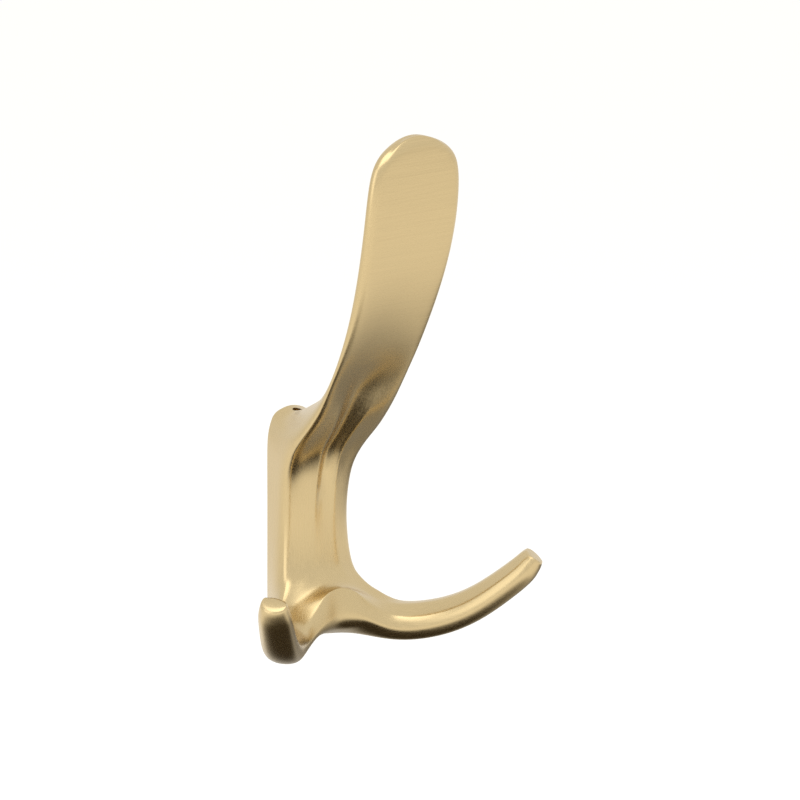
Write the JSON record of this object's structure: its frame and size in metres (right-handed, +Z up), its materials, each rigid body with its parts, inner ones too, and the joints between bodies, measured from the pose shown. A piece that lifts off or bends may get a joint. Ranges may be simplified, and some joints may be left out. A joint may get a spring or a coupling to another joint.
{
  "type": "wall hook",
  "caption": "Cast wall hook with an oblong boss, a wide blade that sweeps up and forward, and prongs that part below it and curve up.",
  "frame": {"origin": "middle of the boss's flat back, in the plane of the wall", "axes": "+Z up along the wall, towards the blade's tip; +Y out of the hook's back, into the wall; -Y the way the hook reaches; X along the wall, from prong to prong"},
  "size_m": [0.0918, 0.0515, 0.1385],
  "materials": {
    "plating": "satin"
  },
  "bodies": {
    "root": {"hook": "plating"}
  },
  "joints": []
}
